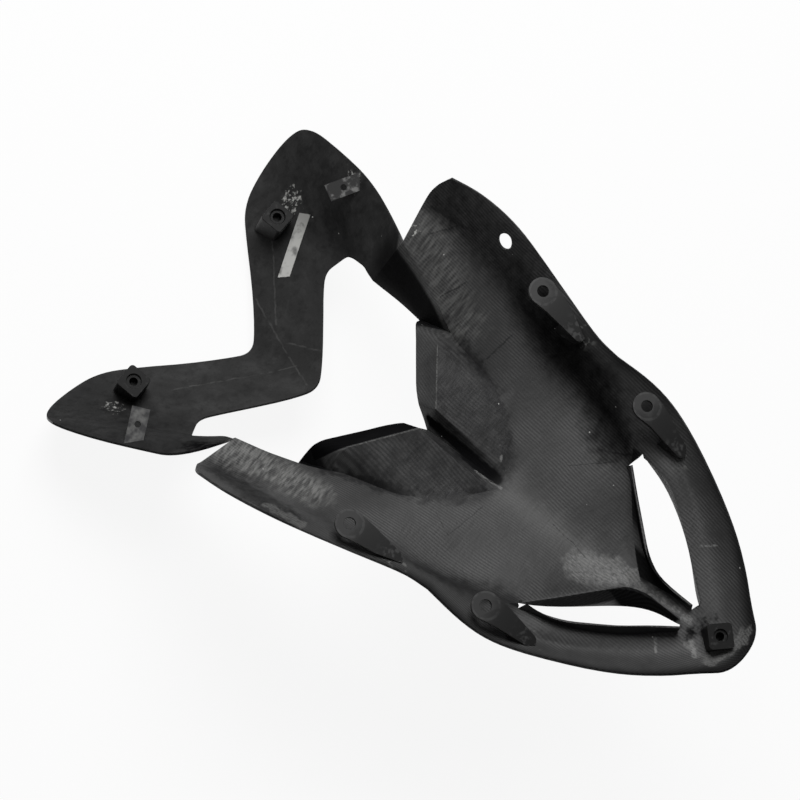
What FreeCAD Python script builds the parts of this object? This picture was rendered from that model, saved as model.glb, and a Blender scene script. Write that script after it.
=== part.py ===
# Front fairing of a motorcycle: one thin moulded shell, seen and modelled with its inside up,
# with the small fixing pieces that are bonded to its inner face. Millimetres.
# Frame: origin midway between the two rear fixing holes, +Y to the nose, +Z out of the hollow.
import FreeCAD, Part
import math
import os
from FreeCAD import Vector

# Wall of the moulding, and half the width of its soft bends
LAMINATE = 2.0
BEND_REACH = 9.0
EASING = 2               # how often the rows of the trough are evened out
TROUGH_POLES = 8         # poles from the inner side of the trough to its free edge
SEAM = 0.01

# Fixing holes, measured from the front point of the rear panels: across, along, up
REAR_HOLE = (116.0, 29.4, 64.4)
FRONT_HOLE = (98.3, 142.8, 67.0)
ARM_HOLE = (139.0, -16.0, 41.0)
ARM_HOLE_DIAMETER = 12.0
ARM_WALL_INSIDE = (128.0, -16.0, 32.5)
ARM_WALL_OUTSIDE = (136.0, -16.0, 47.5)

# Fixing tabs
TAB_HEAD = 21.5          # width across the round head
TAB_TAIL = 10.0          # width at the end of the tail
TAB_LENGTH = 42.0        # hole centre to the centre of the tail's round end
TAB_THICKNESS = 3.0
TAB_HOLE_DIAMETER = 9.0
TAB_TOE_IN = 5.0         # how far the tail leans to the middle
TAB_KNEE = 13.0          # hole centre to where the tail bends down
TAB_FOOT = 26.0          # hole centre to where the bonding foot starts
TAB_DEPTH = 14.0         # deepest reach of the foot
REAR_TAB_FALL = 7.5      # how far the tail drops
FRONT_TAB_FALL = 13.0

# Blocks at the nose and on the wings
NOSE_BLOCK_AT = (0.0, 291.0)
NOSE_BLOCK_TOP = 62.0
NOSE_BLOCK_WIDTH = 27.0  # corner to corner
NOSE_BLOCK_TURN = 45.0
NOSE_RING_DIAMETER = 11.0
NOSE_HOLE_DIAMETER = 6.5
WING_BLOCK_AT = (89.5, -168.0)
WING_BLOCK_TOP = -123.0
WING_BLOCK_WIDTH = 20.0
WING_BLOCK_TURN = 0.0
WING_RING_DIAMETER = 12.0
WING_HOLE_DIAMETER = 6.5
BLOCK_RECESS = 2.0
BLOCK_BORE = 9.0
BLOCK_CORNER = 3.0
SEAT_GAP = 0.1           # bond line under a bonded piece

# Nut plates and the blank label on the wings
PLATE_OUTER = (141.5, -133.0)  # middle of the bonded end in plan
PLATE_INNER = (114.5, -147.0)  # middle of the free end
PLATE_TOP = -73.5
PLATE_WIDTH = 14.0
PLATE_THICKNESS = 1.5
PLATE_FOOT = 8.0         # length of the bonded end
PLATE_HOLE_BACK = 17.0   # hole centre from the bonded end
PLATE_HOLE_DIAMETER = 5.0
LABEL_START = [(107.0, -157.5), (109.3, -149.5)]
LABEL_END = [(57.8, -137.5), (63.0, -130.5)]
LABEL_ROWS = 5
LABEL_THICKNESS = 0.4

# Rails of one half of the moulding: station, across, along, up. Between two points a rail is straight.
# Rear rails run from the end of the arm to the front point of the rear panels.
REAR_ROWS = 16
FOLD_ROWS = 5            # the first rows lie on the fold between arm and cheek, the rest on the crease
REAR_INNER_EDGE = [(0, 101.5, -76, -12), (2, 93.5, -51, -14), (4, 82.5, -24, -16), (5, 75, -10, -17),
                   (6, 68, 4, -13), (8, 61.5, 31, -4.5), (9, 57, 46, 0), (10, 47, 60, 2),
                   (11, 27, 81.5, 0), (12, 10.5, 94.7, 0), (13, 9, 95.9, 0), (14, 4, 99.8, 0),
                   (15, 0, 103, 0)]
REAR_BEND = [(0, 134, -83, -3), (2, 128.5, -54, 7), (4, 121, -24, 15), (7, 109, 17, 19),
             (9, 101.5, 48, 18.5), (10, 98, 60, 18.5), (11, 94, 79, 18), (15, 88, 103, 18)]
REAR_WALL = [(0, 141, -84, 8), (2, 136.5, -54, 22), (4, 130, -24, 31), (7, 118, 17, 38),
             (9, 108.5, 48, 39), (10, 106, 60, 39), (11, 102.5, 79, 39.5), (15, 98, 103, 40)]
REAR_FLARE = [(0, 147.5, -82, 20), (2, 144, -54, 36), (4, 138.5, -24, 46), (7, 126, 17, 52),
              (9, 115.5, 48, 53), (10, 113, 60, 53), (11, 109, 79, 53.5), (15, 105, 103, 54)]
REAR_EDGE = [(0, 150, -78, 30), (1, 152, -66, 38), (2, 151.5, -52, 45), (4, 147, -20, 55.5),
             (6, 140.5, 5, 56.5), (8, 131, 37, 58), (10, 122.5, 64, 59.5), (11, 116, 81, 61),
             (15, 114.4, 103, 62.5)]

# Front rails run on to the nose, where the last row lies on the middle plane. The bend and wall
# rails are the inner and outer sides of the slot between two of the rows.
FRONT_ROWS = 19
SLOT_ROWS = (4, 15)
FRONT_CENTRE = [(0, 0, 103, 0), (3, 0, 147, 7), (6, 0, 178, 10.5), (9, 0, 208, 15), (10, 0, 218, 19),
                (12, 0, 238, 34), (14, 0, 255, 41), (15, 0, 261, 43), (16, 0, 266, 44),
                (18, 0, 270, 45)]
FRONT_BEND = [(0, 88, 103, 18), (2, 79.5, 133, 20), (4, 70, 158, 25), (5, 64.5, 168, 24),
              (6, 55.5, 178, 20.5), (7, 46.5, 188, 18), (9, 28, 208, 17), (10, 19.5, 218, 18.5),
              (11, 13, 228, 27), (12, 9.5, 238, 35), (14, 8, 253, 42.5), (15, 8, 260, 43.5),
              (16, 7, 268, 44.5), (17, 3.5, 277, 45.5), (18, 0, 279, 46)]
FRONT_WALL = [(0, 98, 103, 40), (3, 86, 147, 37), (4, 77.5, 160, 38), (5, 74, 169, 42),
              (6, 73.5, 179, 45), (7, 70.5, 190, 46), (9, 60.5, 210, 44.5), (11, 47, 230, 43.5),
              (13, 30.5, 249.5, 43.5), (15, 16, 261.5, 44), (16, 11, 270, 45), (17, 4.5, 281.5, 46),
              (18, 0, 284.5, 46.5)]
FRONT_FLARE = [(0, 105, 103, 54), (2, 103, 133, 52), (4, 100.5, 158, 47), (6, 95, 179, 45.5),
               (8, 86, 200, 45), (10, 74.5, 221, 45), (12, 61, 243, 45.5), (14, 45, 264, 46),
               (15, 36, 274, 47), (16, 25, 285, 48.5), (17, 12, 294.5, 50), (18, 0, 297.5, 51)]
FRONT_EDGE = [(0, 114.4, 103, 62.5), (2, 117.5, 134, 63), (3, 117, 150, 60.5), (5, 110, 172, 59.5),
              (7, 102, 190.5, 60.5), (10, 87, 221, 61), (12, 74.5, 243, 61), (13, 67, 255, 62),
              (14, 58, 266, 63), (15, 47.5, 278.5, 63), (16, 33, 295, 63.5), (17, 16, 310, 65),
              (18, 0, 312.5, 66)]

# Tops of the flange on the inner side of a slot and of the lip on its outer side: across, along, up
SLOT_FLANGE_TOP = [(67.0, 164.0, 29.0), (49.5, 181.0, 33.5), (38.7, 190.7, 39.0), (27.5, 200.5, 45.0),
                   (17.0, 210.5, 48.5), (10.0, 221.0, 49.0), (6.8, 233.0, 49.0), (6.0, 247.0, 51.0),
                   (6.2, 260.5, 52.0)]
SLOT_LIP_TOP = [(72.0, 166.5, 48.0), (72.0, 178.4, 51.0), (68.6, 191.0, 53.0), (61.8, 202.6, 54.0),
                (46.7, 223.7, 55.0), (29.9, 243.7, 56.0), (14.0, 264.0, 56.0)]
SLOT_SIDES = (2, 4)      # of the rows of poles, where the inner and outer sides of a slot lie
SLOT_INSET = 0.15        # how far a flange's wall reaches from one of these sides to the other

# Rear ridge of a rear panel from the groove on the middle plane outwards, and the edge of the lamp
# opening below it, then along the cheek: across, along, up
RIDGE = [(0, 31, -12.6), (4, 28.3, -9), (9, 25.3, 7.5), (10.5, 24.3, 8.7), (21, 17, 6.8), (33, 8, 4.3),
         (44, 0.3, 2.2), (52, -5.3, 0.7), (58, -8.8, -2), (65, -9, -10)]
RIDGE_EDGE = [(0, 30, -14.5), (3.8, 24, -13), (8.3, 15, -10), (9.7, 12.3, -9), (19, 3.5, -13),
              (30, -4.5, -16), (41, -13, -17.7), (51, -20.5, -19), (58, -26, -21), (66, -29.5, -31)]
PANEL_ROWS = 5
CHEEK_EDGE = [(78, -28, -60), (81.5, -40, -68), (83.5, -54, -73), (84, -66, -76.5)]

# Ribs of the wings and hood, from the arm to the middle: outer edge, edge of the lamp opening, bulge
RIBS = [((118, -82, -46), (84.5, -76, -78.5), 2), ((128, -98.5, -57), (86.5, -83, -79), 4),
        ((143, -130, -66), (90, -88.5, -82), 6), ((154, -165, -91), (93, -94.5, -92), 7),
        ((160.5, -197, -113), (96, -100.5, -102), 7), ((150, -205, -134), (97, -105.5, -112), 6),
        ((122, -204.5, -160), (90, -108, -117), 4), ((92, -197, -168), (79, -111, -123), 2),
        ((68, -175, -162.5), (65, -101.5, -124), 0), ((43, -149.5, -159.5), (44, -85, -121.5), 0),
        ((18, -127, -157), (18, -65.5, -119), 0), ((0, -113.5, -158), (0, -55, -116), 0)]
RIB_POLES = 4


def lift(across, along, up):
    """A point measured from the front point of the rear panels, in the part's frame."""
    return Vector(across, along - REAR_HOLE[1], up - REAR_HOLE[2])


def on_rail(rail, station):
    """The point of a rail at one station."""
    for low, high in zip(rail, rail[1:]):
        if low[0] <= station <= high[0]:
            share = (station - low[0]) / (high[0] - low[0])
            return lift(*[a + (b - a) * share for a, b in zip(low[1:], high[1:])])
    raise ValueError("station off the rail")


def knots(count, degree):
    """Knots and multiplicities of a clamped, evenly spaced spline."""
    spans = count - degree
    return list(range(spans + 1)), [degree + 1] + [1] * (spans - 1) + [degree + 1]


def surface(poles):
    """A smooth surface drawn by its cage of poles."""
    degree_u = min(2, len(poles) - 1)
    degree_v = min(2, len(poles[0]) - 1)
    knots_u, mults_u = knots(len(poles), degree_u)
    knots_v, mults_v = knots(len(poles[0]), degree_v)
    drawn = Part.BSplineSurface()
    drawn.buildFromPolesMultsKnots(poles, mults_u, mults_v, knots_u, knots_v, False, False,
                                   degree_u, degree_v)
    return drawn


def normals(poles):
    """Unit normals at the poles of a cage."""
    last_row = len(poles) - 1
    last_column = len(poles[0]) - 1
    found = []
    for i, row in enumerate(poles):
        line = []
        for j in range(len(row)):
            step_u = poles[min(i + 1, last_row)][j] - poles[max(i - 1, 0)][j]
            step_v = row[min(j + 1, last_column)] - row[max(j - 1, 0)]
            line.append(step_u.cross(step_v).normalize())
        found.append(line)
    return found


def set_back(poles):
    """The cage of the outer face: every pole moved by the wall. Poles on the middle plane stay on it."""
    outer = []
    for row, line in zip(poles, normals(poles)):
        moved = [p + n * LAMINATE for p, n in zip(row, line)]
        outer.append([Vector(m.x if p.x else 0, m.y, m.z) for p, m in zip(row, moved)])
    return outer


def piece_of(drawn, u0, u1, v0, v1):
    """One rectangle of a surface, by its own coordinates, as a face."""
    part = drawn.copy()
    part.segment(u0, u1, v0, v1)
    return part.toShape()


def along_v(drawn, v, u0, u1):
    """The line of a surface at one v, between two u, as a curve."""
    line = drawn.vIso(v)
    line.segment(u0, u1)
    return line


def along_u(drawn, u, v0, v1):
    line = drawn.uIso(u)
    line.segment(v0, v1)
    return line


def band(first, second):
    """The ruled face between two curves."""
    return Part.makeRuledSurface(first.toShape(), second.toShape())


def spread(points, count):
    """A line of points, evenly spread again to another count."""
    return Part.makePolygon(points).discretize(count)


def mirrored(shape):
    return shape.mirror(Vector(0, 0, 0), Vector(1, 0, 0))


def flipped(point):
    return Vector(-point.x, point.y, point.z)


def cage(rows, inner, bend, wall, flare, edge):
    """Poles of the trough: each row runs from its inner side over two soft bends to the free edge."""
    poles = []
    for row in range(rows):
        start, low, high, out, end = [on_rail(rail, row) for rail in (inner, bend, wall, flare, edge)]
        middle = (start + low) / 2
        rise = (high - low).normalize()
        reach = min(BEND_REACH, high.distanceToPoint(low) / 4, low.distanceToPoint(middle) / 2)
        turn_low = ((low - middle).normalize() + rise).normalize() * reach
        turn_high = (rise + (out - high).normalize()).normalize() * reach
        poles.append([start, middle, low - turn_low, low + turn_low,
                      high - turn_high, high + turn_high, out, end])
    for turn in range(EASING):
        even = [poles[0]]
        for before, row, after in zip(poles, poles[1:], poles[2:]):
            even.append(row[:1] + [(a + b * 2 + c) / 4 for a, b, c in zip(before, row, after)][1:])
        poles = even + [poles[-1]]
    return poles


def levelled(poles):
    """The row before the middle plane brought level with it, so that both halves meet without a crease."""
    level = [Vector(p.x, q.y, q.z) if p.x else p for p, q in zip(poles[-2], poles[-1])]
    return poles[:-2] + [level, poles[-1]]


def plan(across, along):
    return lift(across, along, 0.0) + Vector(0, 0, REAR_HOLE[2])


def prism(wire, low, high):
    """An upright block on a plan wire, between two heights."""
    face = Part.Face(wire)
    face.translate(Vector(0, 0, low - face.BoundBox.ZMin))
    return face.extrude(Vector(0, 0, high - low))


def rounded(corners):
    """A closed plan wire through corners, each rounded by its radius."""
    count = len(corners)
    arcs = []
    for i, (across, along, radius) in enumerate(corners):
        here = plan(across, along)
        before = (plan(*corners[i - 1][:2]) - here).normalize()
        after = (plan(*corners[(i + 1) % count][:2]) - here).normalize()
        half = before.getAngle(after) / 2
        reach = radius / math.tan(half)
        middle = (before + after).normalize()
        bow = here + middle * (radius / math.sin(half) - radius)
        arcs.append((here + before * reach, bow, here + after * reach))
    edges = []
    for i, (start, bow, end) in enumerate(arcs):
        edges.append(Part.Arc(start, bow, end).toShape())
        edges.append(Part.makeLine(end, arcs[(i + 1) % count][0]))
    return Part.Wire(Part.__sortEdges__(edges))


def height_of(face, across, along):
    """Height of a surface over one plan point, measured as the points above are."""
    here = plan(across, along)
    upright = Part.Line(here, here + Vector(0, 0, 1))
    points = upright.intersectCS(face)[0]
    return max(p.Z for p in points) + REAR_HOLE[2]


def rear_cages():
    """Inner and outer cages of the rear of the trough. Along the fold the outer face steps outwards."""
    inner = cage(REAR_ROWS, REAR_INNER_EDGE, REAR_BEND, REAR_WALL, REAR_FLARE, REAR_EDGE)
    outer = set_back(inner)
    for row in range(REAR_ROWS):
        step = min(1.0, (REAR_ROWS - 1 - row) / (REAR_ROWS - 1 - FOLD_ROWS))
        outer[row][0] = inner[row][0] + Vector(LAMINATE * step, 0, -LAMINATE)
    return inner, outer


def rib(start, end, bulge):
    """Poles of one rib, bowed towards the inside of the fairing."""
    line = [start + (end - start) * (i / (RIB_POLES - 1)) for i in range(RIB_POLES)]
    return line[:1] + [p + Vector(0, 0, bulge) for p in line[1:-1]] + line[-1:]


def beak_faces(inner, outer):
    """The front of the trough with its slot, and the flange and lip that stand along the slot."""
    u_end, v_end = FRONT_ROWS - 2, TROUGH_POLES - 2
    u0, u1 = SLOT_ROWS
    v0, v1 = SLOT_SIDES
    faces = [band(inner.vIso(v_end), outer.vIso(v_end))]
    for drawn, low, high in ((inner, v0, v1), (outer, v0 + SLOT_INSET, v1 - SLOT_INSET)):
        faces += [piece_of(drawn, 0, u_end, 0, low), piece_of(drawn, 0, u_end, high, v_end),
                  piece_of(drawn, 0, u0, low, high), piece_of(drawn, u1, u_end, low, high)]
    for u in SLOT_ROWS:
        faces.append(band(along_u(inner, u, v0, v1), along_u(outer, u, v0 + SLOT_INSET, v1 - SLOT_INSET)))
    for v, inset, tops in ((v0, SLOT_INSET, SLOT_FLANGE_TOP), (v1, -SLOT_INSET, SLOT_LIP_TOP)):
        foot_in = along_v(inner, v, u0, u1).getPoles()
        foot_out = along_v(outer, v + inset, u0, u1).getPoles()
        top_in = spread([lift(*p) for p in tops], len(foot_in))
        top_out = []
        for top, a, b in zip(top_in, foot_in, foot_out):
            top_out.append(top + Vector(b.x - a.x, b.y - a.y, 0).normalize() * LAMINATE)
        near = surface([list(pair) for pair in zip(foot_in, top_in)])
        far = surface([list(pair) for pair in zip(foot_out, top_out)])
        faces += [near.toShape(), far.toShape(), band(near.vIso(1), far.vIso(1))]
        faces += [band(near.uIso(u), far.uIso(u)) for u in (0, u1 - u0)]
    return faces


def lamp_faces(inner, outer):
    """Rear panel, the flange below its ridge and the cheek on one side, and the rib that ends the cheek."""
    u_end = REAR_ROWS - 2
    crease_in, crease_out = [along_v(s, 0, FOLD_ROWS, u_end).getPoles()[::-1] for s in (inner, outer)]
    fold_in, fold_out = [along_v(s, 0, 0, FOLD_ROWS).getPoles()[::-1] for s in (inner, outer)]
    cheek_end = lift(*CHEEK_EDGE[0])
    ridge = [lift(*p) for p in RIDGE] + [crease_in[-1]]
    lamp = [lift(*p) for p in RIDGE_EDGE] + [cheek_end]
    shares = [i / (PANEL_ROWS - 1) for i in range(PANEL_ROWS)]
    panel_in = [[a + (b - a) * s for s in shares] for a, b in zip(crease_in, ridge)]
    flange_in = [rib(a, b, 0) for a, b in zip(ridge, lamp)]
    cheek_edge = spread([lift(*p) for p in CHEEK_EDGE] + [lift(*RIBS[0][1])], len(fold_in))
    cheek_in = [rib(a, b, 0) for a, b in zip(fold_in, cheek_edge)]

    panel_out = [[p - Vector(0, 0, LAMINATE) for p in row] for row in panel_in[:-1]]
    flange_out = set_back(flange_in)
    cheek_out = set_back(cheek_in)
    for row, strip, crease in zip(panel_out, flange_out, crease_out):
        strip[0] = strip[0] - Vector(0, 0, LAMINATE)
        row[-1] = strip[0]
        row[0] = crease
    panel_out.append([crease_out[-1]] * PANEL_ROWS)
    for i, pole in enumerate(fold_out):
        cheek_out[i][0] = pole
    flange_out[-1] = cheek_out[0]
    faces = []
    for near, far in ((panel_in, panel_out), (flange_in, flange_out), (cheek_in, cheek_out)):
        faces += [surface(near).toShape(), surface(far).toShape()]
    for near, far in ((flange_in, flange_out), (cheek_in, cheek_out)):
        faces.append(band(surface(near).vIso(RIB_POLES - 2), surface(far).vIso(RIB_POLES - 2)))
    return faces, cheek_in[-1], cheek_out[-1]


def hood_faces(start_in, start_out):
    """Wings and the hood over the lamp as one sheet, from arm to arm."""
    half = [start_in] + [rib(lift(*outer), lift(*inner), bulge) for outer, inner, bulge in RIBS[1:]]
    near = half + [[flipped(p) for p in line] for line in reversed(half[:-1])]
    far = set_back(near)
    far[0] = start_out
    far[-1] = [flipped(p) for p in start_out]
    face, back = surface(near), surface(far)
    sides = [band(face.vIso(v), back.vIso(v)) for v in (0, RIB_POLES - 2)]
    return [face.toShape(), back.toShape()] + sides, face


def fairing_shell():
    """The whole moulding, with its inner hood face for the label that is stuck to it."""
    rear_in, rear_out = rear_cages()
    front_in = levelled(cage(FRONT_ROWS, FRONT_CENTRE, FRONT_BEND, FRONT_WALL, FRONT_FLARE, FRONT_EDGE))
    front_out = levelled(set_back(front_in))
    front_out[0] = rear_out[-1]
    inner, outer = surface(rear_in), surface(rear_out)
    half = [inner.toShape(), outer.toShape(), band(inner.uIso(0), outer.uIso(0)),
            band(inner.vIso(TROUGH_POLES - 2), outer.vIso(TROUGH_POLES - 2))]
    half += beak_faces(surface(front_in), surface(front_out))
    lamp, start_in, start_out = lamp_faces(inner, outer)
    half += lamp
    hood, hood_face = hood_faces(start_in, start_out)
    skin = Part.makeCompound(half + [mirrored(f) for f in half] + hood)
    skin.sewShape(SEAM)
    moulding = Part.makeSolid(skin.Shells[0] if skin.ShapeType != "Shell" else skin)
    if moulding.Volume < 0:
        moulding.reverse()
    return moulding.cut(mirrored(arm_hole())), hood_face


def arm_hole():
    """The hole through the outer wall of one arm, square to the wall."""
    wall = lift(*ARM_WALL_OUTSIDE) - lift(*ARM_WALL_INSIDE)
    axis = wall.cross(Vector(0, 1, 0)).normalize()
    start = lift(*ARM_HOLE) - axis * ARM_HOLE_DIAMETER
    return Part.makeCylinder(ARM_HOLE_DIAMETER / 2, 2 * ARM_HOLE_DIAMETER, start, axis)


def top_of(shell, point):
    """The point of the shell's inner face below a given point, if there is one."""
    line = Part.makeLine(point, point - Vector(0, 0, shell.BoundBox.DiagonalLength))
    hits = shell.common(line).Vertexes
    return max((v.Point for v in hits), key=lambda p: p.z) if hits else None


def seated(piece, feet, shell):
    """A piece cut off by the flat seat that lies closest to the shell under its feet."""
    reach = shell.BoundBox.DiagonalLength
    ground = [p for p in [top_of(shell, foot) for foot in feet] if p]
    seat = Part.makePolygon(ground + ground[:1]).findPlane(reach)
    axis = seat.Axis if seat.Axis.z > 0 else seat.Axis * -1
    gap = max((p - seat.Position).dot(axis) for p in ground) + SEAT_GAP
    below = Part.makeBox(2 * reach, 2 * reach, reach, Vector(-reach, -reach, -reach))
    middle = sum(ground, Vector()) / len(ground)
    middle = middle + axis * (gap - (middle - seat.Position).dot(axis))
    below.Placement = FreeCAD.Placement(middle, FreeCAD.Rotation(Vector(0, 0, 1), axis))
    return max(piece.cut([below, shell]).Solids, key=lambda lump: lump.BoundBox.ZMax)


def tab(hole, fall, shell):
    """A flat tab with a round head, its tail bent down and bonded to the edge of the shell."""
    centre = lift(*hole)
    run = Vector(-TAB_TOE_IN, math.sqrt(TAB_LENGTH ** 2 - TAB_TOE_IN ** 2), 0).normalize()
    side = Vector(run.y, -run.x, 0)
    head = TAB_HEAD / 2
    tail = TAB_TAIL / 2
    lean = math.asin((head - tail) / TAB_LENGTH)
    corners = []
    for sign in (1, -1):
        normal = side * (sign * math.cos(lean)) + run * math.sin(lean)
        corners.append((centre + normal * head, centre + run * TAB_LENGTH + normal * tail))
    edges = [Part.Arc(corners[0][0], centre - run * head, corners[1][0]).toShape(),
             Part.makeLine(corners[1][0], corners[1][1]),
             Part.Arc(corners[1][1], centre + run * (TAB_LENGTH + tail), corners[0][1]).toShape(),
             Part.makeLine(corners[0][1], corners[0][0])]
    wire = Part.Wire(Part.__sortEdges__(edges))
    outline = prism(wire, centre.z - TAB_DEPTH - fall, centre.z + TAB_THICKNESS)
    reach = TAB_LENGTH + TAB_TAIL
    drop = fall * (reach - TAB_KNEE) / (TAB_LENGTH - TAB_KNEE)
    foot_drop = fall * (TAB_FOOT - TAB_KNEE) / (TAB_LENGTH - TAB_KNEE) + TAB_THICKNESS
    profile = [(-TAB_HEAD, 0), (TAB_KNEE, 0), (reach, -drop), (reach, -drop - TAB_DEPTH),
               (TAB_FOOT, -foot_drop - TAB_DEPTH), (TAB_FOOT, -foot_drop), (TAB_KNEE, -TAB_THICKNESS),
               (-TAB_HEAD, -TAB_THICKNESS), (-TAB_HEAD, 0)]
    points = [centre + run * s + Vector(0, 0, z) - side * TAB_HEAD for s, z in profile]
    strip = Part.Face(Part.makePolygon(points)).extrude(side * (2 * TAB_HEAD))
    under = centre - Vector(0, 0, 1.5 * TAB_THICKNESS)
    bore = Part.makeCylinder(TAB_HOLE_DIAMETER / 2, 2 * TAB_THICKNESS, under)
    feet = []
    for s in (TAB_FOOT, (TAB_FOOT + TAB_LENGTH) / 2, TAB_LENGTH):
        feet += [centre + run * s + side * w for w in (-tail, 0, tail)]
    return seated(strip.common(outline).cut(bore), feet, shell)


def block(corners, top, ring, hole, shell):
    """A fixing block on the shell: rounded in plan, with a shallow ring round its hole."""
    heart = [sum(c[i] for c in corners) / len(corners) for i in (0, 1)]
    crown = lift(*heart, top)
    body = prism(rounded(corners), shell.BoundBox.ZMin, crown.z)
    recess = Part.makeCylinder(ring / 2, BLOCK_RECESS, crown - Vector(0, 0, BLOCK_RECESS))
    bore = Part.makeCylinder(hole / 2, BLOCK_BORE, crown - Vector(0, 0, BLOCK_BORE))
    feet = [lift(*c[:2], top) for c in corners] + [crown]
    return seated(body.cut([recess, bore]), feet, shell)


def square_corners(across, along, width, turn):
    """Corners of a square in plan, turned about its middle, each with the block radius."""
    reach = width / math.sqrt(2)
    angles = [math.radians(turn + 45 + 90 * i) for i in range(4)]
    return [(across + reach * math.cos(a), along + reach * math.sin(a), BLOCK_CORNER) for a in angles]


def nut_plate(shell):
    """A level metal strip with a nut hole, bonded by its outer end to the edge of the wing."""
    outer = lift(*PLATE_OUTER, PLATE_TOP)
    inner = lift(*PLATE_INNER, PLATE_TOP)
    run = (inner - outer).normalize()
    length = outer.distanceToPoint(inner)
    side = Vector(-run.y, run.x, 0)
    depth = Vector(0, 0, -PLATE_THICKNESS)
    strips = []
    for reach, drop in ((length, depth), (PLATE_FOOT, depth * PLATE_FOOT)):
        start = outer - side * (PLATE_WIDTH / 2)
        width = side * PLATE_WIDTH
        corners = [start, start + run * reach, start + run * reach + width, start + width, start]
        strips.append(Part.Face(Part.makePolygon(corners)).extrude(drop))
    centre = outer + run * PLATE_HOLE_BACK
    bore = Part.makeCylinder(PLATE_HOLE_DIAMETER / 2, 4 * PLATE_THICKNESS, centre + depth * 2)
    feet = []
    for s in (0, PLATE_FOOT):
        feet += [outer + run * s + side * w for w in (-PLATE_WIDTH / 2, 0, PLATE_WIDTH / 2)]
    return seated(strips[0].fuse(strips[1]).cut(bore), feet, shell)


def label_strip(face):
    """A blank adhesive strip that follows the wing in short flat lengths."""
    sides = []
    for (x0, y0), (x1, y1) in zip(LABEL_START, LABEL_END):
        points = []
        for i in range(LABEL_ROWS):
            share = i / (LABEL_ROWS - 1)
            x = x0 + (x1 - x0) * share
            y = y0 + (y1 - y0) * share
            points.append(lift(x, y, height_of(face, x, y) + SEAT_GAP + LABEL_THICKNESS))
        sides.append(Part.makePolygon(points))
    lengths = Part.makeRuledSurface(*sides).extrude(Vector(0, 0, -LABEL_THICKNESS)).Solids
    return lengths[0].fuse(lengths[1:])


def build():
    """Every piece by its node name."""
    shell, hood_face = fairing_shell()
    nodes = {"fairing_shell": shell}
    nose = square_corners(*NOSE_BLOCK_AT, NOSE_BLOCK_WIDTH / math.sqrt(2), NOSE_BLOCK_TURN)
    wing = square_corners(*WING_BLOCK_AT, WING_BLOCK_WIDTH, WING_BLOCK_TURN)
    left = {"tab_rear": tab(REAR_HOLE, REAR_TAB_FALL, shell),
            "tab_front": tab(FRONT_HOLE, FRONT_TAB_FALL, shell),
            "wing_block": block(wing, WING_BLOCK_TOP, WING_RING_DIAMETER, WING_HOLE_DIAMETER, shell),
            "nut_plate": nut_plate(shell)}
    for name, piece in left.items():
        nodes[name + "_left"] = piece
        nodes[name + "_right"] = mirrored(piece)
    nodes["nose_block"] = block(nose, NOSE_BLOCK_TOP, NOSE_RING_DIAMETER, NOSE_HOLE_DIAMETER, shell)
    nodes["label_strip"] = mirrored(label_strip(hood_face))
    return nodes


os.makedirs("parts", exist_ok=True)
for node, shape in build().items():
    print(node, shape.isValid(), len(shape.Solids), shape.BoundBox)
    shape.exportStep("parts/" + node + ".step")
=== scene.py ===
import bpy
import math
from mathutils import Matrix, Vector


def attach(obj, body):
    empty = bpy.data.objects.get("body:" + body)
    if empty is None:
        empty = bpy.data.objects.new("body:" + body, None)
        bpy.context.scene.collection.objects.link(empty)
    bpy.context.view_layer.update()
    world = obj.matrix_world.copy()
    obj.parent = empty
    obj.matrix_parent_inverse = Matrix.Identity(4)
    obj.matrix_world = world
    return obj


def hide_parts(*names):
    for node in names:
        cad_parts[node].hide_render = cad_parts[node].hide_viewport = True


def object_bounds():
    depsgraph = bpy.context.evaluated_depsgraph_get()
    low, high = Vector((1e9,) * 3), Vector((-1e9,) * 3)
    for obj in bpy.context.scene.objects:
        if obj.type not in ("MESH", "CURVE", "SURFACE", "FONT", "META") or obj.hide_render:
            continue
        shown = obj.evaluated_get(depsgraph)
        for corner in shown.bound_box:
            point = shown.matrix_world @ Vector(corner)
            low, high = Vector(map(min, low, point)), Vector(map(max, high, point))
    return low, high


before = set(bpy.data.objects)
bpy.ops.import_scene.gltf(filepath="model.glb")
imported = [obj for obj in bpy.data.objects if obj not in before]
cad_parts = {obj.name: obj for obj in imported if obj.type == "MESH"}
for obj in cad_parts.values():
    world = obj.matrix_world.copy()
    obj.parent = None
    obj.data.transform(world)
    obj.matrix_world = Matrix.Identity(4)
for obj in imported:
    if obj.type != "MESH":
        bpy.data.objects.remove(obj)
cad_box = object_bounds()


# The moulded shell: carbon twill cloth laid by hand into a mould with epoxy, and cured. Beak, arms and
# rear panels show the cloth under uneven resin; cheeks, wings and hood are plain and matt. Resin has run
# and cracked between the slots and was smeared where pieces are bonded. All of it is one moulding.
MERGE_WITHIN = 2e-6
FLAT_WITHIN = math.radians(0.5)
BEVEL_ABOVE = math.radians(50)
BEVEL_STEPS = 3
SMOOTH_BELOW = math.radians(28)


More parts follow.
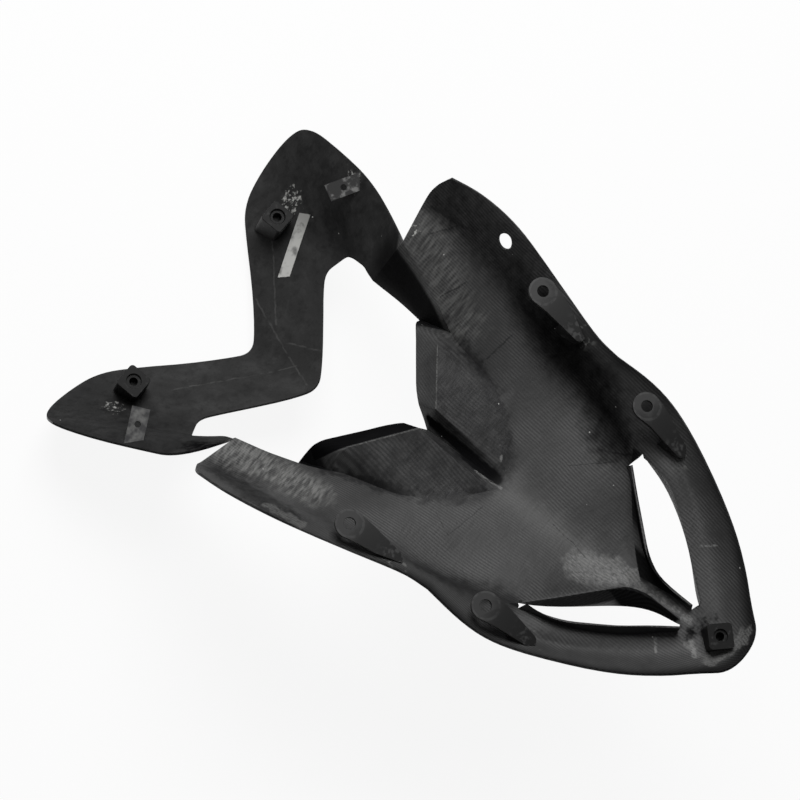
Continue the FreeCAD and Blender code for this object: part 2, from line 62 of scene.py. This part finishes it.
def copy_of(node, name, bevel):
    """A merged copy of a solid's mesh as a piece of its own, its sharp edges rounded by a bevel if given."""
    piece = bpy.data.objects.new(name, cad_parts[node].data.copy())
    bpy.context.scene.collection.objects.link(piece)
    bpy.ops.object.select_all(action="DESELECT")
    piece.select_set(True)
    bpy.context.view_layer.objects.active = piece
    bpy.ops.mesh.customdata_custom_splitnormals_clear()
    bpy.ops.object.mode_set(mode="EDIT")
    bpy.ops.mesh.select_all(action="SELECT")
    bpy.ops.mesh.remove_doubles(threshold=MERGE_WITHIN)
    if bevel:
        bpy.ops.mesh.dissolve_limited(angle_limit=FLAT_WITHIN)
    bpy.ops.object.mode_set(mode="OBJECT")
    if bevel:
        bpy.ops.object.modifier_add(type="BEVEL")
        piece.modifiers[-1].width = bevel
        piece.modifiers[-1].segments = BEVEL_STEPS
        piece.modifiers[-1].limit_method = "ANGLE"
        piece.modifiers[-1].angle_limit = BEVEL_ABOVE
        bpy.ops.object.modifier_apply(modifier=piece.modifiers[-1].name)
    bpy.ops.object.shade_smooth_by_angle(angle=SMOOTH_BELOW)
    if bevel:
        bpy.ops.object.modifier_add(type="WEIGHTED_NORMAL")
        piece.modifiers[-1].keep_sharp = True
        bpy.ops.object.modifier_apply(modifier=piece.modifiers[-1].name)
    piece.data.materials.clear()
    return piece


def linear(code):
    """An sRGB hex colour as linear values."""
    values = [int(code[i:i + 2], 16) / 255 for i in (0, 2, 4)]
    return tuple(v / 12.92 if v <= 0.04045 else ((v + 0.055) / 1.055) ** 2.4 for v in values) + (1.0,)


def add(tree, kind, settings, links):
    """A node with its settings and input values; an input given as a socket is linked."""
    node = tree.nodes.new(kind)
    for name, value in settings.items():
        setattr(node, name, value)
    for name, value in links.items():
        if isinstance(value, bpy.types.NodeSocket):
            tree.links.new(value, node.inputs[name])
        else:
            node.inputs[name].default_value = value
    return node


def material_named(name):
    """A new material with its tree and its shader."""
    material = bpy.data.materials.new(name)
    material.use_nodes = True
    return material, material.node_tree, material.node_tree.nodes["Principled BSDF"]


def places_in_mm(tree):
    """Places on the part in millimetres."""
    place = add(tree, "ShaderNodeTexCoord", {}, {}).outputs["Object"]
    return add(tree, "ShaderNodeVectorMath", {"operation": "SCALE"}, {0: place, "Scale": 1000.0}).outputs[0]


def split(tree, place):
    """The three values of a place, as outputs X, Y and Z."""
    return add(tree, "ShaderNodeSeparateXYZ", {}, {0: place}).outputs


def reckon(tree, operation, first, second):
    """The result of one sum."""
    return add(tree, "ShaderNodeMath", {"operation": operation}, {0: first, 1: second}).outputs[0]


def product(tree, *shares):
    """Several shares multiplied."""
    result = shares[0]
    for share in shares[1:]:
        result = reckon(tree, "MULTIPLY", result, share)
    return result


def most(tree, *shares):
    """The largest of several shares."""
    result = shares[0]
    for share in shares[1:]:
        result = reckon(tree, "MAXIMUM", result, share)
    return result


def vectors(tree, operation, first, second):
    """The result of one sum with vectors."""
    return add(tree, "ShaderNodeVectorMath", {"operation": operation}, {0: first, 1: second}).outputs[0]


def measure(tree, operation, first, second):
    """A single value from two vectors."""
    return add(tree, "ShaderNodeVectorMath", {"operation": operation}, {0: first, 1: second}).outputs["Value"]


def fade(tree, value, none, full):
    """A soft step: 0 where the value is at `none`, 1 where it is at `full`."""
    return add(tree, "ShaderNodeMapRange", {"interpolation_type": "SMOOTHSTEP"},
               {"Value": value, "From Min": none, "From Max": full}).outputs[0]


def ranged(tree, value, start, end, first, last):
    """A value carried in proportion from one range to another."""
    return add(tree, "ShaderNodeMapRange", {}, {"Value": value, "From Min": start, "From Max": end,
                                                "To Min": first, "To Max": last}).outputs[0]


def coloured(tree, share, under, over):
    """Two colours mixed."""
    return add(tree, "ShaderNodeMix", {"data_type": "RGBA"}, {0: share, 6: under, 7: over}).outputs[2]


def noise(tree, place, scale, detail, roughness=0.5):
    """A soft noise, its scale in features a millimetre, as outputs Fac and Color."""
    return add(tree, "ShaderNodeTexNoise", {},
               {"Vector": place, "Scale": scale, "Detail": detail, "Roughness": roughness}).outputs


def streaks(tree, place, scales, detail, roughness=0.5):
    """A noise with a scale of its own for each axis, drawn out along the axis with the smallest."""
    return noise(tree, vectors(tree, "MULTIPLY", place, scales), 1.0, detail, roughness)["Fac"]


def pushed(tree, place, colours, reach):
    """A place pushed about by the colours of a noise, within a box as wide as the reach."""
    offset = vectors(tree, "SUBTRACT", colours, (0.5, 0.5, 0.5))
    return vectors(tree, "ADD", place, vectors(tree, "MULTIPLY", offset, (reach, reach, reach)))


def distance(tree, place, centre, radii):
    """How far a place is from a centre, as a share of the radii."""
    away = vectors(tree, "SUBTRACT", place, centre)
    return measure(tree, "LENGTH", vectors(tree, "DIVIDE", away, radii), (0.0, 0.0, 0.0))


def from_line(tree, place, start, end):
    """Distance of a place from a straight line between two points."""
    run = Vector(end) - Vector(start)
    away = vectors(tree, "SUBTRACT", place, start)
    along = measure(tree, "DOT_PRODUCT", away, tuple(run / run.length_squared))
    share = add(tree, "ShaderNodeClamp", {}, {"Value": along}).outputs[0]
    foot = add(tree, "ShaderNodeVectorMath", {"operation": "SCALE"}, {0: tuple(run), "Scale": share})
    return measure(tree, "DISTANCE", away, foot.outputs[0])


def beyond(tree, place, point, normal):
    """How far a place lies in front of a plane."""
    return measure(tree, "DOT_PRODUCT", vectors(tree, "SUBTRACT", place, point), normal)


shell = copy_of("fairing_shell", "shell", 0.0)

# Carbon twill in epoxy: tows lie over and under two by two and catch the light in turn, which gives the
# eye fine slanting lines on near-black. A tow is 0.9 mm wide here, a little coarser than usual, to be seen.
TOW = 0.9
TWILL_TURN = math.radians(47.0)
WALL_STRETCH = 0.6  # how much of a wall's height counts as width, so that the cloth runs on up the walls
carbon, tree, shader = material_named("carbon_twill")
in_mm = places_in_mm(tree)
axes = split(tree, in_mm)
side = reckon(tree, "SIGN", axes["X"], 0.0)
across = reckon(tree, "ADD", product(tree, axes["Z"], side, WALL_STRETCH), axes["X"])
cloth = add(tree, "ShaderNodeCombineXYZ", {}, {"X": across, "Y": axes["Y"]}).outputs[0]
waver = vectors(tree, "MULTIPLY", noise(tree, cloth, 0.02, 1.0)["Color"], (6.0, 6.0, 0.0))
turned = add(tree, "ShaderNodeMapping", {}, {
    "Vector": vectors(tree, "ADD", cloth, waver),
    "Rotation": (0.0, 0.0, TWILL_TURN),
    "Scale": (1 / TOW, 1 / TOW, 1.0)}).outputs[0]
tows = split(tree, turned)
warp = reckon(tree, "FLOOR", tows["X"], 0.0)
weft = reckon(tree, "FLOOR", tows["Y"], 0.0)
turn = reckon(tree, "FLOORED_MODULO", reckon(tree, "ADD", warp, weft), 4.0)
over = reckon(tree, "LESS_THAN", turn, 1.5)

# The cloth shows above the edge of the lamp opening; below it the moulding is plain, matt and streaky. The
# weave is clearest on the flat floor and drowned here and there where the resin lies thick.
woven = fade(tree, axes["Z"], -92.0, -84.0)
bare = fade(tree, woven, 1.0, 0.0)
cloudy = noise(tree, in_mm, 0.035, 4.0, 0.6)["Fac"]
lines = product(tree, over, fade(tree, cloudy, 0.25, 0.7), woven)
streaky = streaks(tree, in_mm, (0.06, 0.02, 0.08), 6.0, 0.65)
blotched = noise(tree, in_mm, 0.12, 6.0, 0.65)["Fac"]
plain = coloured(tree, woven, linear("2d2d2d"), linear("323232"))
plain = coloured(tree, product(tree, fade(tree, streaky, 0.4, 0.75), bare, 0.6), plain, linear("424242"))
plain = coloured(tree, product(tree, fade(tree, blotched, 0.45, 0.7), bare, 0.5), plain, linear("1a1a1a"))
tone = coloured(tree, lines, plain, linear("4a4a4a"))
cast = noise(tree, in_mm, 0.012, 3.0)["Fac"]
tone = coloured(tree, product(tree, fade(tree, cast, 0.5, 0.75), 0.35), tone, linear("262627"))

# Everything ragged is drawn on places that a fine noise pushes about by a few millimetres. What is alike on
# both sides is drawn on places folded over at the middle.
frayed = noise(tree, in_mm, 0.16, 5.0)["Color"]
ragged = pushed(tree, in_mm, frayed, 22.0)
spread = pushed(tree, in_mm, frayed, 14.0)
wandering = pushed(tree, in_mm, frayed, 3.0)
from_above = vectors(tree, "MULTIPLY", wandering, (1.0, 1.0, 0.0))
aside = reckon(tree, "ABSOLUTE", axes["X"], 0.0)
both = add(tree, "ShaderNodeCombineXYZ", {}, {"X": aside, "Y": axes["Y"], "Z": axes["Z"]}).outputs[0]

# Painted shade: steep faces look near black, so they are drawn darker and with less shine.
# Each line has its reach and its share of black: first arms and trough walls, then wings, legs and nose.
SHADE_LINES = [((-143.0, -108.0, -46.0), (-126.0, -12.0, -18.0), 38.0, 0.62),
              ((-114.0, 0.0, -28.0), (-97.0, 75.0, -30.0), 34.0, 0.7),
              ((-97.0, 75.0, -30.0), (-76.0, 114.0, -40.0), 28.0, 0.7),
              ((134.0, -96.0, -56.0), (137.0, -41.0, -15.0), 24.0, 0.6),
              ((100.0, 62.0, -32.0), (76.0, 122.0, -34.0), 24.0, 0.5),
              ((-135.0, -105.0, -120.0), (-140.0, -190.0, -170.0), 80.0, 0.35),
              ((110.0, -150.0, -130.0), (140.0, -215.0, -180.0), 80.0, 0.4),
              ((-139.9, -164.3, -137.6), (-107.0, -114.7, -106.8), 32.0, 0.4),
              ((108.0, -111.0, -98.0), (114.0, -124.0, -122.0), 24.0, 0.8),
              ((-8.0, 250.0, -14.0), (10.0, 243.0, -14.0), 9.0, 0.8)]
painted_shade = 0.0
for start, end, reach, share in SHADE_LINES:
    line_shade = fade(tree, from_line(tree, ragged, start, end), reach, reach * 0.3)
    painted_shade = most(tree, painted_shade, product(tree, line_shade, share))
painted_shade = product(tree, painted_shade, ranged(tree, blotched, 0.3, 0.7, 0.7, 1.2))

# Painted shade, as dark, on the cheeks, the left panel's rear flange, the free edges and in the groove
# between the panels.
CHEEK = ((93.0, -100.0, -108.0), (77.0, -48.0, -102.0))
PANEL_REAR_AT = (9.0, -4.1, 0.0)
PANEL_REAR_OUT = (-0.58, -0.815, 0.0)
PANEL_REAR = ((12.0, -11.0, -65.0), (54.0, -43.0, -73.0))
GROOVE = ((-2.5, -4.0, -70.0), (-1.0, 64.0, -66.0))
cheek_shade = product(tree, fade(tree, from_line(tree, both, *CHEEK), 52.0, 12.0), bare, 0.74)
flange_shade = product(tree, fade(tree, beyond(tree, in_mm, PANEL_REAR_AT, PANEL_REAR_OUT), 0.3, 1.5),
                 fade(tree, from_line(tree, in_mm, *PANEL_REAR), 34.0, 28.0),
                 fade(tree, axes["X"], 0.0, 3.0), 0.95)
rolled_edge_shade = product(tree, fade(tree, axes["Z"], -10.0, 0.0), 0.75)
groove_shade = product(tree, fade(tree, from_line(tree, wandering, *GROOVE), 6.5, 3.5), 0.95)

# Painted shade, as dark, on the upright flanges along the inner side of each slot, and on their front parts
# beside the keel.
FLANGE_AT = (67.0, 134.6, 0.0)
FLANGE_OUT = (0.681, 0.732, 0.0)
FLANGE_DEPTH = 9.0
FLANGE_RUN = ((67.0, 134.6, -37.0), (12.0, 188.0, -28.0))
KEEL_SIDE = 6.9
FRONT_FLANGE_AT = (22.0, 190.0, 0.0)
FRONT_FLANGE_OUT = (1.0, 0.25, 0.0)
SLOT_FRONT = 236.0
outwards = beyond(tree, both, FLANGE_AT, FLANGE_OUT)
past_face = fade(tree, outwards, 0.9, 1.6)
slot_flange_shade = product(tree, past_face, fade(tree, outwards, FLANGE_DEPTH, FLANGE_DEPTH - 2.0),
               fade(tree, from_line(tree, both, *FLANGE_RUN), 17.0, 14.0), 0.78)
nose_flange_shade = product(tree, fade(tree, aside, KEEL_SIDE, KEEL_SIDE + 0.7), past_face,
                    fade(tree, beyond(tree, both, FRONT_FLANGE_AT, FRONT_FLANGE_OUT), 2.0, -2.0),
                    fade(tree, axes["Y"], SLOT_FRONT, SLOT_FRONT - 6.0), 0.82)
slot_wall_shade = most(tree, slot_flange_shade, nose_flange_shade)
painted_shade = most(tree, painted_shade, slot_wall_shade, cheek_shade, flange_shade, rolled_edge_shade, groove_shade)
# Painted shade: all of these masks darken the tone to near black.
tone = coloured(tree, painted_shade, tone, linear("0b0b0c"))

# Painted shade: the rear panels are drawn blotchy and a shade darker than the floor beside them, with a
# painted shadow darkest in their crease.
PANEL = ((42.0, -12.0, -62.0), (12.0, 46.0, -63.0))
CREASE = [(75.0, -39.0, -81.0), (61.5, 1.6, -69.0), (47.0, 30.6, -62.4), (27.0, 52.0, -64.4),
          (4.0, 70.0, -64.4)]
panel_shade = fade(tree, from_line(tree, both, *PANEL), 27.0, 20.0)
tone = coloured(tree, product(tree, panel_shade, fade(tree, blotched, 0.2, 0.8), 0.9), tone, linear("151516"))
# Painted shadow along the crease, on both panels.
for start, end in zip(CREASE, CREASE[1:]):
    left = fade(tree, from_line(tree, ragged, start, end), 8.0, 1.0)
    start = (-start[0], *start[1:])
    end = (-end[0], *end[1:])
    right = fade(tree, from_line(tree, ragged, start, end), 8.0, 1.0)
    tone = coloured(tree, product(tree, most(tree, left, right), 0.8), tone, linear("111112"))

# Thick pale resin between the slots, along the keel, round the nose block and on the left arm's edge, each
# run with its reach and its share. The weave shows through it as a hatching, and its edge is grainy.
RESIN_RUNS = [((14.0, 152.0, -51.0), (2.0, 172.0, -50.0), 15.0, 0.8),
              ((2.0, 172.0, -50.0), (-7.0, 192.0, -42.0), 9.0, 0.75),
              ((0.0, 195.0, -40.0), (0.0, 236.0, -22.0), 5.5, 0.65),
              ((20.0, 266.0, -10.0), (-14.0, 276.0, -5.0), 8.0, 0.6),
              ((17.0, 249.0, -17.0), (18.0, 257.0, -14.0), 5.0, 0.5),
              ((139.0, -52.0, -16.0), (139.0, -28.0, -11.0), 7.0, 0.5)]
KEEL_SHEEN_LINE = ((0.0, 80.0, -62.0), (4.0, 150.0, -52.0))
hairy = streaks(tree, in_mm, (0.9, 0.3, 0.9), 5.0)
resin = 0.0
for start, end, reach, share in RESIN_RUNS:
    run = fade(tree, from_line(tree, spread, start, end), reach, reach * 0.5)
    resin = most(tree, resin, product(tree, run, share))
hatched = reckon(tree, "SUBTRACT", 1.0, product(tree, over, 0.45))
resin = product(tree, resin, hatched, fade(tree, hairy, 0.2, 0.6), fade(tree, slot_wall_shade, 0.5, 0.0))
tone = coloured(tree, resin, tone, linear("787877"))
# A painted sheen: a soft pale band along the keel line of the floor.
keel_sheen = fade(tree, from_line(tree, wandering, *KEEL_SHEEN_LINE), 22.0, 0.0)
tone = coloured(tree, product(tree, keel_sheen, 0.2), tone, linear("787877"))

# Pale brushed streaks along the inner side of both arms, partly smeared resin and partly a painted sheen, and
# pale smears of resin under the tails of the tabs.
ARM_SMEARS_AND_SHEEN = [((110.0, -104.0, -72.0), (100.0, -38.0, -63.0), 0.62),
          ((-114.0, -96.0, -68.0), (-84.0, -30.0, -72.0), 0.3)]
TAB_TAILS = ((113.0, 44.0, -10.0), (92.0, 157.0, -14.0))
brushed = streaks(tree, in_mm, (0.09, 0.45, 0.09), 4.0)
for start, end, share in ARM_SMEARS_AND_SHEEN:
    arm_smear_and_sheen = fade(tree, from_line(tree, ragged, start, end), 26.0, 4.0)
    tone = coloured(tree, product(tree, arm_smear_and_sheen, fade(tree, brushed, 0.32, 0.72), share), tone, linear("8c8c8a"))
for centre in TAB_TAILS:
    bond = fade(tree, distance(tree, both, centre, (12.0, 14.0, 14.0)), 1.0, 0.5)
    tone = coloured(tree, product(tree, bond, fade(tree, frayed, 0.55, 0.62), 0.45), tone, linear("80807e"))

# Painted highlight along the sharp ridge of each rear panel, here and there.
RIDGE = ((10.0, -4.8, -55.8), (52.0, -34.7, -63.5))
ridge_highlight = fade(tree, from_line(tree, both, *RIDGE), 0.8, 0.3)
tone = coloured(tree, product(tree, ridge_highlight, fade(tree, hairy, 0.3, 0.7), 0.6), tone, linear("7c7c7a"))

# Hair cracks in the resin and the cut ends of the cloth, as thin dark lines with their widths, in plan.
DARK_LINES = [((0.0, 118.0), (2.0, 136.0), 0.45), ((2.0, 136.0), (5.0, 152.0), 0.45),
              ((-69.4, 1.1), (-92.8, 3.8), 0.6), ((-87.8, -55.9), (-104.0, -48.1), 0.6),
              ((-133.8, -105.9), (-131.9, -73.2), 0.8), ((-117.0, -94.0), (-131.7, -81.0), 0.5),
              ((60.1, 62.7), (24.1, 68.9), 0.4), ((60.1, 62.7), (51.2, 45.1), 0.35),
              ((-65.4, 109.7), (-74.7, 130.4), 0.6), ((-41.5, 99.0), (-63.5, 122.3), 0.4)]
for start, end, width in DARK_LINES:
    away = from_line(tree, from_above, (*start, 0.0), (*end, 0.0))
    crack = fade(tree, away, width * 1.6, width * 0.6)
    tone = coloured(tree, product(tree, crack, fade(tree, hairy, 0.3, 0.55), 0.7), tone, linear("141415"))

# Pale lips of resin along the groove between the panels and at the joins in the cloth on the rim.
PALE_LINES = [((4.2, 47.9, -66.5), (2.5, 71.5, -64.4), 1.0),
              ((27.8, 226.5, -20.1), (36.1, 233.3, -18.5), 1.2),
              ((12.0, 249.1, -18.0), (21.9, 256.8, -13.1), 1.8),
              ((-48.6, 210.4, -19.0), (-58.2, 222.4, -15.0), 1.0),
              ((-17.0, 56.0, -63.9), (-14.0, 58.0, -63.9), 1.2)]
for start, end, width in PALE_LINES:
    lip = fade(tree, from_line(tree, wandering, start, end), width * 1.5, width * 0.4)
    tone = coloured(tree, product(tree, lip, fade(tree, hairy, 0.3, 0.6), 0.6), tone, linear("80807f"))

# Faint pale scratches on the hood and the wings, in plan.
SCRATCHES = [((-79.7, -189.3), (-26.6, -143.1)), ((-35.4, -168.8), (2.2, -92.9)),
             ((-18.6, -127.6), (-25.7, -103.0)), ((69.5, -171.6), (-7.1, -109.5))]
for start, end in SCRATCHES:
    scratch = fade(tree, from_line(tree, from_above, (*start, 0.0), (*end, 0.0)), 0.9, 0.3)
    tone = coloured(tree, product(tree, scratch, fade(tree, frayed, 0.35, 0.6), 0.2), tone, linear("70706f"))

# White residue of torn tape and old sealant on the wings and at the end of the right arm, each patch with
# its radii, broken up by a coarse grain.
RESIDUE = [((-112.0, -198.0, -203.0), (13.0, 12.0, 12.0)), ((-133.0, -174.0, -138.0), (17.0, 14.0, 14.0)),
           ((112.0, -197.0, -201.0), (10.0, 10.0, 10.0)), ((-112.0, -104.0, -73.0), (8.0, 3.0, 6.0))]
torn = noise(tree, in_mm, 0.3, 6.0, 0.7)["Fac"]
residue = 0.0
for centre, radii in RESIDUE:
    residue = most(tree, residue, fade(tree, distance(tree, ragged, centre, radii), 1.0, 0.6))
residue = product(tree, residue, fade(tree, torn, 0.52, 0.6), 0.8)
tone = coloured(tree, residue, tone, linear("b4b4b1"))

# Specks of dust and dried resin, about a millimetre across and some twenty-five millimetres apart.
grit = add(tree, "ShaderNodeTexVoronoi", {}, {"Vector": in_mm, "Scale": 0.05}).outputs
chosen = fade(tree, split(tree, grit["Color"])["X"], 0.35, 0.45)
speck = product(tree, fade(tree, grit["Distance"], 0.032, 0.018), chosen)
tone = coloured(tree, speck, tone, linear("b0b0ae"))
tree.links.new(tone, shader.inputs["Base Color"])

# Plain areas are rougher than the cloth, pools of resin a little smoother, and faces under painted shade
# hardly shine.
rough = reckon(tree, "SUBTRACT", ranged(tree, woven, 0.0, 1.0, 0.7, 0.55), product(tree, resin, 0.1))
tree.links.new(rough, shader.inputs["Roughness"])
shine = product(tree, ranged(tree, painted_shade, 0.0, 0.8, 0.3, 0.0), ranged(tree, woven, 0.0, 1.0, 0.5, 1.0))
tree.links.new(shine, shader.inputs["Specular IOR Level"])
grain = noise(tree, in_mm, 0.5, 3.0)["Fac"]
uneven = product(tree, reckon(tree, "ADD", blotched, brushed), 2.0)
relief = reckon(tree, "ADD", product(tree, lines, 0.5), reckon(tree, "ADD", grain, resin))
relief = reckon(tree, "ADD", relief, uneven)
bump = add(tree, "ShaderNodeBump", {}, {"Height": relief, "Strength": 0.3, "Distance": 0.0004}).outputs[0]
tree.links.new(bump, shader.inputs["Normal"])
shell.data.materials.append(carbon)

# Clear-coated laminate on the outer face, which the photo doesn't show: a plain, smooth, satin black. It goes
# on faces that look away from a point above the hollow, on the other side of the middle. The upright
# flanges along the slots stay bare on both sides.
LOOKOUT_ASIDE = 0.5
LOOKOUT_HEIGHT = 1.5
SLOT_REAR = 120.0
UPRIGHT_BELOW = 0.5
coated, tree, shader = material_named("carbon_clear_coated")
shader.inputs["Base Color"].default_value = linear("1c1c1d")
shader.inputs["Roughness"].default_value = 0.3
shell.data.materials.append(coated)
for face in shell.data.polygons:
    centre = face.center * 1000
    folded = Vector((abs(centre.x), centre.y, 0.0))
    past_flange = (folded - Vector(FLANGE_AT)).dot(Vector(FLANGE_OUT))
    past_front = (folded - Vector(FRONT_FLANGE_AT)).dot(Vector(FRONT_FLANGE_OUT))
    on_flange = past_flange < FLANGE_DEPTH or past_front < 0
    if SLOT_REAR < centre.y < SLOT_FRONT and on_flange and abs(face.normal.z) < UPRIGHT_BELOW:
        continue
    lookout = Vector((-math.copysign(LOOKOUT_ASIDE, face.center.x), 0.0, LOOKOUT_HEIGHT))
    if face.normal.dot(lookout - face.center) < 0:
        face.material_index = 1
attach(shell, "root")
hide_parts("fairing_shell")


# The four fixing tabs: flat moulded composite with a round head and a bolt hole, the tail bent down and
# bonded to the edge of the shell. Their edges are softly rounded from the mould.
TAB_BEVEL = 0.0012
HOLES = ((116.0, 0.0, 0.0), (98.3, 113.4, 0.0))

# Black moulded composite: matt, with a painted highlight round the rim of the head and dust on the tail.
tab_black, tree, shader = material_named("moulded_composite_black")
shader.inputs["Roughness"].default_value = 0.55
in_mm = places_in_mm(tree)
axes = split(tree, in_mm)
aside = reckon(tree, "ABSOLUTE", axes["X"], 0.0)
flat = add(tree, "ShaderNodeCombineXYZ", {}, {"X": aside, "Y": axes["Y"]}).outputs[0]
from_hole = reckon(tree, "MINIMUM", *[distance(tree, flat, hole, (1.0, 1.0, 1.0)) for hole in HOLES])
worn = noise(tree, in_mm, 0.25, 4.0)["Fac"]
rim_highlight = product(tree, fade(tree, from_hole, 8.9, 9.6), fade(tree, from_hole, 11.5, 11.0))
tone = coloured(tree, product(tree, rim_highlight, fade(tree, worn, 0.35, 0.6)), linear("181818"), linear("313131"))
dusty = product(tree, fade(tree, from_hole, 22.0, 40.0), fade(tree, worn, 0.5, 0.62), 0.35)
tone = coloured(tree, dusty, tone, linear("606060"))
tree.links.new(tone, shader.inputs["Base Color"])
for node in ("tab_rear_left", "tab_rear_right", "tab_front_left", "tab_front_right"):
    tab = copy_of(node, node + "_moulded", TAB_BEVEL)
    tab.data.materials.append(tab_black)
    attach(tab, "root")
    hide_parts(node)


# The fixing blocks: one inside the nose and one on each wing, moulded in black plastic with a ring round the
# hole, and bonded to the shell. Their edges are slightly rounded.
BLOCK_BEVEL = 0.0008

# Black moulded plastic: dull and the darkest thing on the part, with small grey scuffs.
block_black, tree, shader = material_named("moulded_block_black")
shader.inputs["Roughness"].default_value = 0.6
shader.inputs["Specular IOR Level"].default_value = 0.25
scuffed = noise(tree, places_in_mm(tree), 0.3, 5.0)["Fac"]
tone = coloured(tree, fade(tree, scuffed, 0.56, 0.7), linear("0d0d0d"), linear("2c2c2c"))
tree.links.new(tone, shader.inputs["Base Color"])
for node in ("nose_block", "wing_block_left", "wing_block_right"):
    block = copy_of(node, node + "_moulded", BLOCK_BEVEL)
    block.data.materials.append(block_black)
    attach(block, "root")
    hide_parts(node)


# The nut plates: small strips of sheet metal with a hole, bonded by one end to the outer edge of each wing.
# Dull aluminium under smeared resin: a cloudy grey without clear reflections, much darker on the right.
plate_grey, tree, shader = material_named("dull_aluminium")
shader.inputs["Roughness"].default_value = 0.55
shader.inputs["Metallic"].default_value = 0.6
in_mm = places_in_mm(tree)
smeared = noise(tree, in_mm, 0.2, 5.0)["Fac"]
tone = coloured(tree, fade(tree, smeared, 0.35, 0.75), linear("29292a"), linear("545453"))
on_right = fade(tree, split(tree, in_mm)["X"], 1.0, -1.0)
tone = coloured(tree, product(tree, on_right, fade(tree, smeared, 0.68, 0.5)), tone, linear("161616"))
tree.links.new(tone, shader.inputs["Base Color"])
for node in ("nut_plate_left", "nut_plate_right"):
    plate = copy_of(node, node + "_strip", 0.0)
    plate.data.materials.append(plate_grey)
    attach(plate, "root")
    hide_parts(node)


# The label: a strip of self-adhesive film pressed onto the right wing, left blank.
# White film: matt, the one pale thing on the part, gone grey with dirt, most of all at its outer end.
label_white, tree, shader = material_named("label_film_white")
shader.inputs["Roughness"].default_value = 0.6
in_mm = places_in_mm(tree)
dirt = noise(tree, in_mm, 0.12, 5.0)["Fac"]
outer = fade(tree, split(tree, in_mm)["X"], -86.0, -108.0)
soiled = most(tree, product(tree, outer, 0.6), fade(tree, dirt, 0.5, 0.75))
tree.links.new(coloured(tree, soiled, linear("b9b9b6"), linear("646462")), shader.inputs["Base Color"])
label = copy_of("label_strip", "label_blank", 0.0)
label.data.materials.append(label_white)
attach(label, "root")
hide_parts("label_strip")


# The stage: a pale floor just under the lowest point, one large soft lamp and a weaker one, and a camera
# that stands where the photographer stood.
FLOOR_SIZE = 8.0
FLOOR_GAP = 0.002
low = cad_box[0][2]
bpy.ops.object.select_all(action="DESELECT")
bpy.ops.mesh.primitive_plane_add(size=FLOOR_SIZE, location=(0.0, 0.0, low - FLOOR_GAP))
floor = bpy.context.object
floor.name = "floor"

# White paper: the eye sees it almost white, with a tenth of its own shading left for the part's shadow.
PAPER_WHITE = 0.9
floor_white, tree, shader = material_named("floor_paper_white")
shader.inputs["Base Color"].default_value = linear("f4f4f4")
shader.inputs["Roughness"].default_value = 0.9
path = add(tree, "ShaderNodeLightPath", {}, {}).outputs
seen = most(tree, path["Is Camera Ray"], path["Is Glossy Ray"], path["Is Transmission Ray"])
glow = add(tree, "ShaderNodeEmission", {}, {"Color": (1.0, 1.0, 1.0, 1.0), "Strength": 1.0}).outputs[0]
mixed = add(tree, "ShaderNodeMixShader", {},
            {0: product(tree, seen, PAPER_WHITE), 1: shader.outputs[0], 2: glow}).outputs[0]
tree.links.new(mixed, tree.nodes["Material Output"].inputs["Surface"])
floor.data.materials.append(floor_white)

world = bpy.data.worlds.new("studio")
world.use_nodes = True
bpy.context.scene.world = world
world.node_tree.nodes["Background"].inputs["Color"].default_value = (1.0, 1.0, 1.0, 1.0)
world.node_tree.nodes["Background"].inputs["Strength"].default_value = 0.08


def lamp(name, towards, away, size, power):
    """A square soft lamp that shines at the middle of the part."""
    light = bpy.data.lights.new(name, "AREA")
    light.size = size
    light.energy = power
    holder = bpy.data.objects.new(name, light)
    bpy.context.scene.collection.objects.link(holder)
    spot = Vector(towards).normalized() * away
    holder.location = spot + Vector((0.0, 0.0, -0.1))
    holder.rotation_euler = (-spot).to_track_quat("-Z", "Y").to_euler()


lamp("key", (-0.4, -0.4, 0.82), 2.2, 1.4, 50.0)
lamp("fill", (0.5, 0.6, 0.8), 2.6, 2.0, 6.0)

camera_data = bpy.data.cameras.new("camera")
camera_data.lens = 148.5
camera_data.sensor_width = 36.0
camera_data.clip_end = 20.0
camera = bpy.data.objects.new("camera", camera_data)
bpy.context.scene.collection.objects.link(camera)
camera.location = (0.7352, -0.0294, 2.2989)
right = Vector((-0.614, 0.766, 0.191)).normalized()
back = Vector((0.297, 0.0, 0.955)).normalized()
up = back.cross(right).normalized()
right = up.cross(back)
camera.rotation_euler = Matrix((right, up, back)).transposed().to_euler()
bpy.context.scene.camera = camera

bpy.context.scene.view_settings.view_transform = "Standard"
